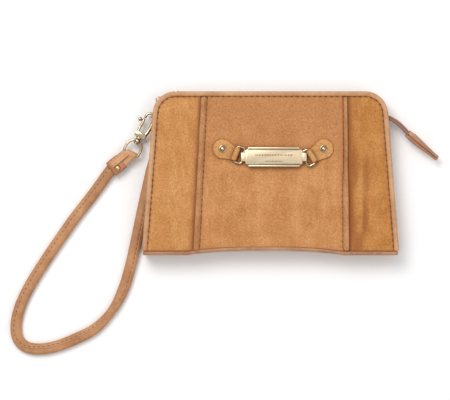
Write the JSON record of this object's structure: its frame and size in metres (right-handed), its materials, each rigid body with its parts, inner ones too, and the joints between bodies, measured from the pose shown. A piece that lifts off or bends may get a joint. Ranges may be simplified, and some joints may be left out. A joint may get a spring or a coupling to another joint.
{
  "type": "wristlet wallet",
  "caption": "Flat zip-top wristlet wallet in tan suede with pleated front, pale gold nameplate, zip tail and a rolled leather wrist strap on a swivel hook.",
  "frame": {"origin": "centre of the back panel's outer face, on the table", "axes": "+X along the zip to the right, +Y from the bottom seam to the zip, +Z out of the front face"},
  "size_m": [0.334, 0.2063, 0.0258],
  "materials": {
    "suede": "napped suede",
    "smooth_leather": "smooth, satin",
    "pale_gold": "polished pale gold plate",
    "lining": "plain woven",
    "stiffener": "matte",
    "zip_tape": "woven tape",
    "spring_steel": "drawn wire"
  },
  "bodies": {
    "shell": {"back_panel": "suede", "back_board": "stiffener", "back_lining": "lining", "card_pocket_rear": "lining", "card_pocket_middle": "lining", "card_pocket_front": "lining", "bottom_gusset": "smooth_leather", "gusset_left": "smooth_leather", "gusset_right": "smooth_leather", "zip_tape_back": "zip_tape", "zip_teeth_back": "pale_gold", "zip_stops": "pale_gold", "zip_tail_tape": "zip_tape", "zip_tail_tab": "smooth_leather", "d_ring_tab": "smooth_leather", "strap_anchor": "smooth_leather", "strap": "smooth_leather", "strap_keeper": "smooth_leather", "strap_wrap": "smooth_leather", "strap_rivet": "pale_gold"},
    "front": {"front_edge_band": "smooth_leather", "front_panel_centre": "suede", "front_panel_left": "suede", "front_panel_right": "suede", "pleat_left": "suede", "pleat_right": "suede", "front_board": "stiffener", "front_lining": "lining", "zip_tape_front": "zip_tape", "zip_teeth_front": "pale_gold", "nameplate_tab_left": "suede", "nameplate_tab_right": "suede", "nameplate_studs": "pale_gold", "stud_washers": "pale_gold"},
    "slider": {"zip_slider": "pale_gold", "zip_pull_pin": "pale_gold"},
    "pull": {"zip_pull": "pale_gold"},
    "plate": {"nameplate": "pale_gold", "nameplate_link_left": "pale_gold", "nameplate_link_right": "pale_gold"},
    "ring": {"d_ring": "pale_gold"},
    "eye": {"hook_eye": "pale_gold"},
    "hook": {"hook_body": "pale_gold", "gate_pin": "pale_gold", "gate_spring": "spring_steel"},
    "gate": {"hook_gate": "pale_gold"}
  },
  "joints": [
    {"name": "front_open", "type": "hinge", "parent": "shell", "child": "front", "pos_m": [0, -0.0605, 0.024], "axis": [1, 0, 0], "range_deg": [0, 12], "deforming": ["gusset_left", "gusset_right", "zip_tape_front", "zip_teeth_front"]},
    {"name": "zip_slide", "type": "slide", "parent": "shell", "child": "slider", "axis": [1, 0, 0], "range_m": [0, 0.139], "deforming": ["zip_teeth_back"]},
    {"name": "pull_swing", "type": "hinge", "parent": "slider", "child": "pull", "pos_m": [-0.0725, 0.063, 0.0102], "axis": [0, 0, -1], "range_deg": [0, 204]},
    {"name": "nameplate_lift", "type": "hinge", "parent": "front", "child": "plate", "pos_m": [0.0025, 0.01329, 0.02258], "axis": [-1, 0, 0], "range_deg": [0, 8]},
    {"name": "d_ring_swing", "type": "hinge", "parent": "shell", "child": "ring", "pos_m": [-0.0873, 0.0435, 0.0078], "axis": [0, 0, 1], "range_deg": [-1.5, 5]},
    {"name": "eye_lift", "type": "hinge", "parent": "shell", "child": "eye", "pos_m": [-0.10873, 0.01499, 0.0071], "axis": [0.8805, -0.4741, 0], "range_deg": [-0.8, 2.5]},
    {"name": "hook_swivel", "type": "hinge", "parent": "eye", "child": "hook", "pos_m": [-0.1028, 0.026, 0.0071], "axis": [0.4741, 0.8805, 0], "range_deg": [-8, 8]},
    {"name": "gate_open", "type": "hinge", "parent": "hook", "child": "gate", "pos_m": [-0.10344, 0.03157, 0.0071], "axis": [0, 0, -1], "range_deg": [0, 20], "stiffness_Nm_per_rad": 0.002, "springref_deg": -5.73}
  ],
  "couplings": [
    {"joint": "zip_slide", "follows": "front_open", "m_per_rad": 0.6636}
  ]
}
